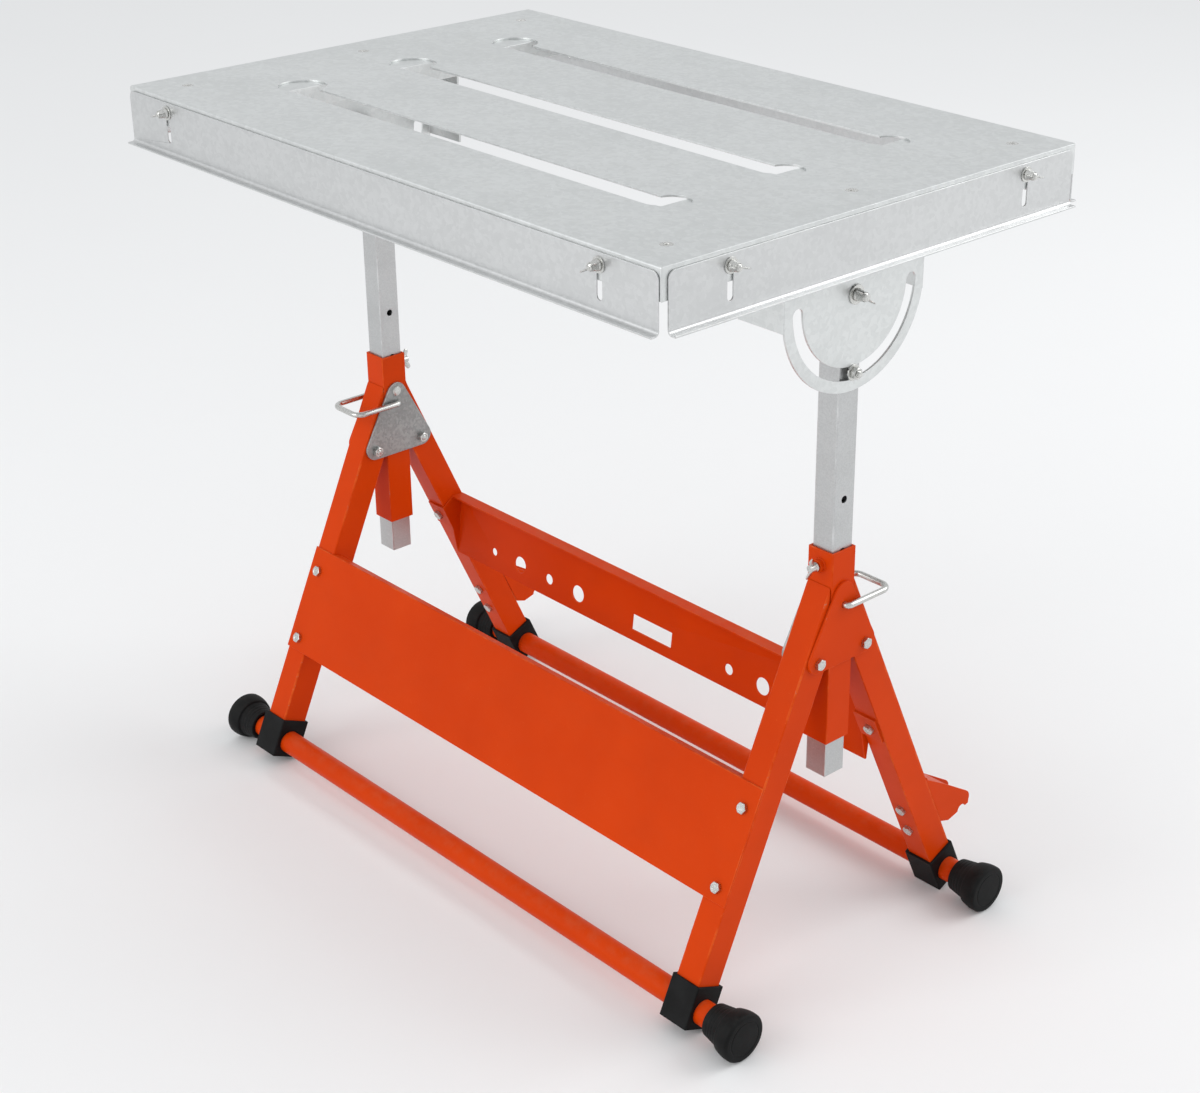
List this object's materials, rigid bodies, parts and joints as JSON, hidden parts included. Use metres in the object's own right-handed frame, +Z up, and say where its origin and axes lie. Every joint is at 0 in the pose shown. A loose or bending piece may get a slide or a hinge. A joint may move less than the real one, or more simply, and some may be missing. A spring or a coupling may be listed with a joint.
{
  "type": "welding table",
  "caption": "Folding welding table: slotted steel top that tilts on two telescoping posts, adjustable edge rails, tubular folding leg frames with rubber feet and a tool tray.",
  "frame": {"origin": "on the floor under the middle of the table", "axes": "+X along the long side, -Y towards the side with the front panel, +Z up"},
  "size_m": [0.816, 0.54, 0.775],
  "materials": {
    "galvanized_sheet": "satin galvanized sheet",
    "galvanized_rail": "satin galvanized strip",
    "post_steel": "satin silver",
    "bare_zinc": "matt zinc plate",
    "black_rubber": "matt",
    "zinc_fasteners": "bright zinc plate",
    "orange_powder_coat": "semi-gloss powder coat"
  },
  "bodies": {
    "base": {"sleeve_left": "orange_powder_coat", "sleeve_right": "orange_powder_coat", "inner_gussets": "bare_zinc", "outer_gussets": "orange_powder_coat", "gusset_rivets": "zinc_fasteners", "leg_hinge_bolts": "zinc_fasteners", "leg_hinge_nuts": "zinc_fasteners"},
    "post_right": {"post_right": "post_steel", "pivot_bolt_right": "zinc_fasteners", "pivot_washers_right": "zinc_fasteners", "lock_bolt_right": "zinc_fasteners", "lock_nut_right": "zinc_fasteners"},
    "post_left": {"post_left": "post_steel", "pivot_bolt_left": "zinc_fasteners", "pivot_washers_left": "zinc_fasteners", "lock_bolt_left": "zinc_fasteners", "lock_nut_left": "zinc_fasteners"},
    "tabletop": {"tabletop": "galvanized_sheet", "top_screws": "zinc_fasteners", "top_screw_nuts": "zinc_fasteners", "cross_channels": "galvanized_sheet", "tilt_bracket_left": "galvanized_sheet", "tilt_bracket_right": "galvanized_sheet", "rail_bolts": "zinc_fasteners", "rail_washers": "zinc_fasteners"},
    "front_leg_frame": {"front_leg_left": "orange_powder_coat", "front_leg_right": "orange_powder_coat", "front_panel": "orange_powder_coat", "panel_bolts": "zinc_fasteners", "front_foot_bar": "orange_powder_coat", "front_foot_shoes": "black_rubber", "front_foot_caps": "black_rubber"},
    "rear_leg_frame": {"rear_leg_left": "orange_powder_coat", "rear_leg_right": "orange_powder_coat", "tool_tray": "orange_powder_coat", "rear_bolts": "zinc_fasteners", "rear_brackets": "orange_powder_coat", "rear_foot_bar": "orange_powder_coat", "rear_foot_shoes": "black_rubber", "rear_foot_caps": "black_rubber"},
    "guide_rail_front": {"guide_rail_front": "galvanized_rail"},
    "guide_rail_rear": {"guide_rail_rear": "galvanized_rail"},
    "guide_rail_left": {"guide_rail_left": "galvanized_rail"},
    "guide_rail_right": {"guide_rail_right": "galvanized_rail"},
    "rail_wing_nut_front_left": {"rail_wing_nut_front_left": "zinc_fasteners"},
    "rail_wing_nut_front_right": {"rail_wing_nut_front_right": "zinc_fasteners"},
    "rail_wing_nut_rear_left": {"rail_wing_nut_rear_left": "zinc_fasteners"},
    "rail_wing_nut_rear_right": {"rail_wing_nut_rear_right": "zinc_fasteners"},
    "rail_wing_nut_left_front": {"rail_wing_nut_left_front": "zinc_fasteners"},
    "rail_wing_nut_left_rear": {"rail_wing_nut_left_rear": "zinc_fasteners"},
    "rail_wing_nut_right_front": {"rail_wing_nut_right_front": "zinc_fasteners"},
    "rail_wing_nut_right_rear": {"rail_wing_nut_right_rear": "zinc_fasteners"},
    "pivot_wing_nut_right": {"pivot_wing_nut_right": "zinc_fasteners"},
    "pivot_wing_nut_left": {"pivot_wing_nut_left": "zinc_fasteners"},
    "sleeve_wing_bolt_right": {"sleeve_wing_bolt_right": "zinc_fasteners"},
    "sleeve_wing_bolt_left": {"sleeve_wing_bolt_left": "zinc_fasteners"},
    "lock_pin_right": {"lock_pin_right": "zinc_fasteners"},
    "lock_pin_left": {"lock_pin_left": "zinc_fasteners"}
  },
  "joints": [
    {"name": "right_post_lift", "type": "slide", "parent": "base", "child": "post_right", "axis": [0, 0, 1], "range_m": [-0.103, 0]},
    {"name": "left_post_lift", "type": "slide", "parent": "base", "child": "post_left", "axis": [0, 0, 1], "range_m": [-0.103, 0]},
    {"name": "tabletop_tilt", "type": "hinge", "parent": "post_right", "child": "tabletop", "pos_m": [0.335, 0, 0.686], "axis": [1, 0, 0], "range_deg": [-70, 70]},
    {"name": "front_legs_fold", "type": "hinge", "parent": "base", "child": "front_leg_frame", "pos_m": [0, -0.031, 0.34], "axis": [1, 0, 0], "range_deg": [0, 24.4]},
    {"name": "rear_legs_fold", "type": "hinge", "parent": "base", "child": "rear_leg_frame", "pos_m": [0, 0.031, 0.34], "axis": [-1, 0, 0], "range_deg": [0, 22]},
    {"name": "guide_rail_front_slide", "type": "slide", "parent": "tabletop", "child": "guide_rail_front", "axis": [0, 0, 1], "range_m": [0, 0.026]},
    {"name": "guide_rail_rear_slide", "type": "slide", "parent": "tabletop", "child": "guide_rail_rear", "axis": [0, 0, 1], "range_m": [0, 0.026]},
    {"name": "guide_rail_left_slide", "type": "slide", "parent": "tabletop", "child": "guide_rail_left", "axis": [0, 0, 1], "range_m": [0, 0.026]},
    {"name": "guide_rail_right_slide", "type": "slide", "parent": "tabletop", "child": "guide_rail_right", "axis": [0, 0, 1], "range_m": [0, 0.026]},
    {"name": "rail_wing_nut_front_left_turn", "type": "hinge", "parent": "tabletop", "child": "rail_wing_nut_front_left", "pos_m": [-0.312, -0.254, 0.761], "axis": [0, -1, 0], "continuous": true},
    {"name": "rail_wing_nut_front_right_turn", "type": "hinge", "parent": "tabletop", "child": "rail_wing_nut_front_right", "pos_m": [0.312, -0.254, 0.761], "axis": [0, -1, 0], "continuous": true},
    {"name": "rail_wing_nut_rear_left_turn", "type": "hinge", "parent": "tabletop", "child": "rail_wing_nut_rear_left", "pos_m": [-0.312, 0.254, 0.761], "axis": [0, 1, 0], "continuous": true},
    {"name": "rail_wing_nut_rear_right_turn", "type": "hinge", "parent": "tabletop", "child": "rail_wing_nut_rear_right", "pos_m": [0.312, 0.254, 0.761], "axis": [0, 1, 0], "continuous": true},
    {"name": "rail_wing_nut_left_front_turn", "type": "hinge", "parent": "tabletop", "child": "rail_wing_nut_left_front", "pos_m": [-0.381, -0.182, 0.761], "axis": [-1, 0, 0], "continuous": true},
    {"name": "rail_wing_nut_left_rear_turn", "type": "hinge", "parent": "tabletop", "child": "rail_wing_nut_left_rear", "pos_m": [-0.381, 0.182, 0.761], "axis": [-1, 0, 0], "continuous": true},
    {"name": "rail_wing_nut_right_front_turn", "type": "hinge", "parent": "tabletop", "child": "rail_wing_nut_right_front", "pos_m": [0.381, -0.182, 0.761], "axis": [1, 0, 0], "continuous": true},
    {"name": "rail_wing_nut_right_rear_turn", "type": "hinge", "parent": "tabletop", "child": "rail_wing_nut_right_rear", "pos_m": [0.381, 0.182, 0.761], "axis": [1, 0, 0], "continuous": true},
    {"name": "pivot_wing_nut_right_turn", "type": "hinge", "parent": "post_right", "child": "pivot_wing_nut_right", "pos_m": [0.335, 0, 0.686], "axis": [1, 0, 0], "continuous": true},
    {"name": "pivot_wing_nut_left_turn", "type": "hinge", "parent": "post_left", "child": "pivot_wing_nut_left", "pos_m": [-0.335, 0, 0.686], "axis": [-1, 0, 0], "continuous": true},
    {"name": "sleeve_wing_bolt_right_turn", "type": "hinge", "parent": "base", "child": "sleeve_wing_bolt_right", "pos_m": [0.335, 0, 0.429], "axis": [0, -1, 0], "continuous": true},
    {"name": "sleeve_wing_bolt_left_turn", "type": "hinge", "parent": "base", "child": "sleeve_wing_bolt_left", "pos_m": [-0.335, 0, 0.429], "axis": [0, 1, 0], "continuous": true},
    {"name": "lock_pin_right_swing", "type": "hinge", "parent": "base", "child": "lock_pin_right", "pos_m": [0.335, 0, 0.39], "axis": [1, 0, 0], "range_deg": [0, 70]},
    {"name": "lock_pin_left_swing", "type": "hinge", "parent": "base", "child": "lock_pin_left", "pos_m": [-0.335, 0, 0.39], "axis": [-1, 0, 0], "range_deg": [0, 70]}
  ],
  "couplings": [
    {"joint": "left_post_lift", "follows": "right_post_lift", "ratio": 1}
  ]
}
